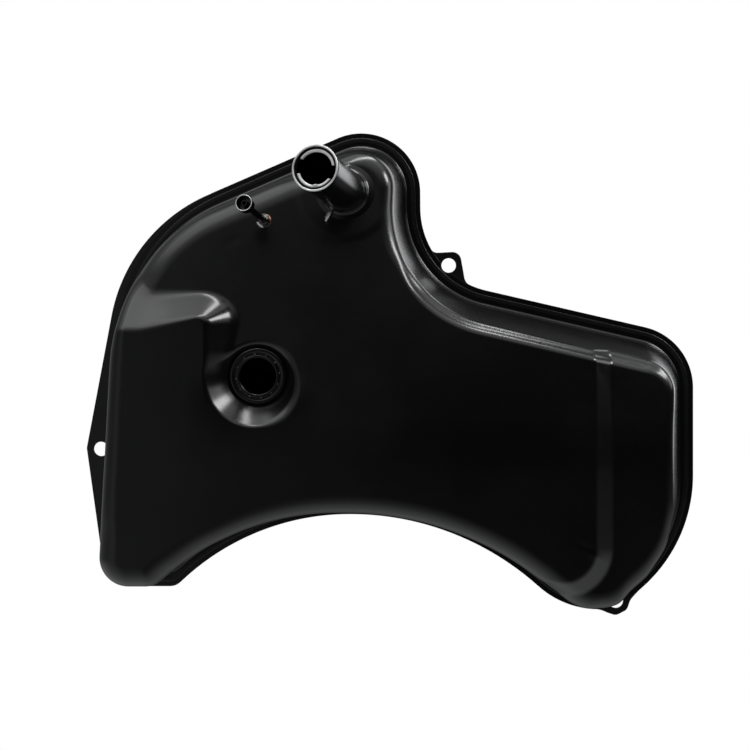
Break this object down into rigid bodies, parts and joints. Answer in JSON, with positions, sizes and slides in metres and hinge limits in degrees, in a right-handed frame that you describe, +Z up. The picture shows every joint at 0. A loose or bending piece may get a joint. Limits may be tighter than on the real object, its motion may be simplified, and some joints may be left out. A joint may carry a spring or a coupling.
{
  "type": "fuel tank",
  "caption": "Black pressed-steel fuel tank with an arched underside, leaning filler neck, vent pipe, dished sender port and fixing ears on its seam flange.",
  "frame": {"origin": "centre of the upper fixing ear's hole on the seam plane, which is the plane where the two pressings meet", "axes": "+Z up as the tank hangs, +X along its long side, the filler neck on the -Y side"},
  "size_m": [0.6062, 0.191, 0.4814],
  "materials": {
    "satin_black": "satin black paint over pressed steel",
    "bright_zinc": "bright zinc plate",
    "dark_steel": "dark phosphated steel with bright weld pips",
    "braze": "brazed brass, dull",
    "bare_steel": "bare sheet steel",
    "gauze": "fine brass gauze"
  },
  "bodies": {
    "root": {"front_shell": "satin_black", "back_shell": "satin_black", "seam_weld": "satin_black", "ear_doublers": "satin_black", "filler_neck": "satin_black", "neck_collar": "satin_black", "bayonet_mouth": "bright_zinc", "vent_pipe": "satin_black", "vent_cup": "bright_zinc", "vent_boss": "braze", "vent_inner_tube": "bare_steel", "sender_ring": "dark_steel", "hose_clip": "bright_zinc", "outlet_boss": "braze", "outlet_strainer": "gauze", "drain_boss": "braze", "anti_surge_baffle": "bare_steel"}
  },
  "joints": []
}
